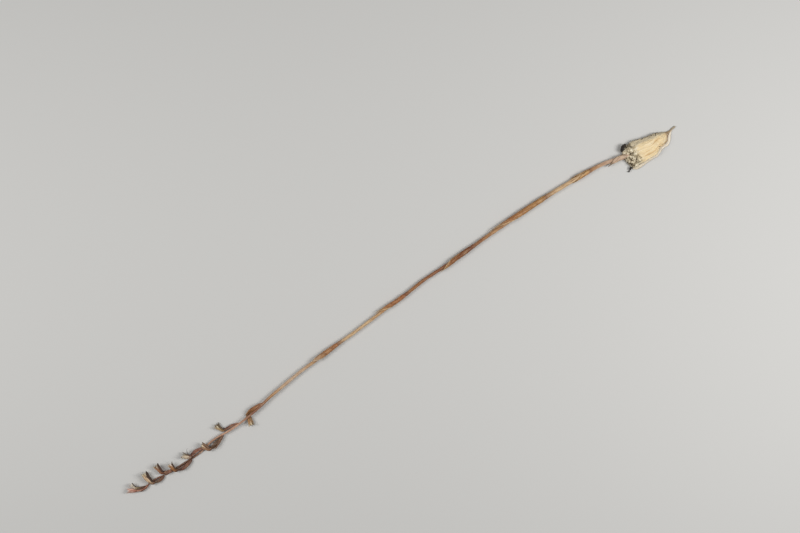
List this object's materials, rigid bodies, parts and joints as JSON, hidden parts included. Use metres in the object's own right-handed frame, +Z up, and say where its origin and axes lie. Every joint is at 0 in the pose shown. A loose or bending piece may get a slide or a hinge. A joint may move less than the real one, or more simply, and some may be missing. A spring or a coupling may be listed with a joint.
{
  "type": "dried ground orchid with raceme and tuberous root",
  "caption": "Dried small-flowered ground orchid lifted whole: sheathed flowering stem, raceme of tubular blooms and a tuberous root.",
  "frame": {"origin": "centre of the bounding box in plan, at the surface that the plant lies on", "axes": "+X along the plant from the tip of its raceme to its root, +Y level and square to it, +Z up"},
  "size_m": [0.31, 0.0156, 0.0049],
  "materials": {
    "dried_stem": "furrowed, straw to red-brown, half matt",
    "papery_sheath": "thin, dry, streaked along, half matt",
    "dried_bract": "thin, dry, half matt",
    "dried_ovary": "ribbed and wrinkled, half matt",
    "dried_petals": "thin, creamy to red-brown, half matt",
    "root_flesh": "starchy, fibrous, matt",
    "papery_skin": "loose, papery, matt",
    "blackened_root": "crusted, matt",
    "dry_soil": "crumbly, matt"
  },
  "bodies": {
    "root": {"scape": "dried_stem", "sheath_1": "papery_sheath", "sheath_2": "papery_sheath", "sheath_3": "papery_sheath", "sheath_4": "papery_sheath", "sheath_5": "papery_sheath", "sheath_6": "papery_sheath", "bloom_1_ovary": "dried_ovary", "bloom_1_bract": "dried_bract", "bloom_1_perianth": "dried_petals", "bloom_2_ovary": "dried_ovary", "bloom_2_bract": "dried_bract", "bloom_2_perianth": "dried_petals", "bloom_3_ovary": "dried_ovary", "bloom_3_bract": "dried_bract", "bloom_3_perianth": "dried_petals", "bloom_4_ovary": "dried_ovary", "bloom_4_bract": "dried_bract", "bloom_4_perianth": "dried_petals", "bloom_5_ovary": "dried_ovary", "bloom_5_bract": "dried_bract", "bloom_5_perianth": "dried_petals", "bloom_6_ovary": "dried_ovary", "bloom_6_bract": "dried_bract", "bloom_6_perianth": "dried_petals", "bloom_7_ovary": "dried_ovary", "bloom_7_bract": "dried_bract", "bloom_7_perianth": "dried_petals", "bloom_8_ovary": "dried_ovary", "bloom_8_bract": "dried_bract", "bloom_8_perianth": "dried_petals", "bloom_9_ovary": "dried_ovary", "bloom_9_bract": "dried_bract", "bloom_9_perianth": "dried_petals", "root_tuber": "root_flesh", "root_skin": "papery_skin", "root_stub_upper": "blackened_root", "root_stub_lower": "blackened_root", "soil_crust": "dry_soil"}
  },
  "joints": []
}
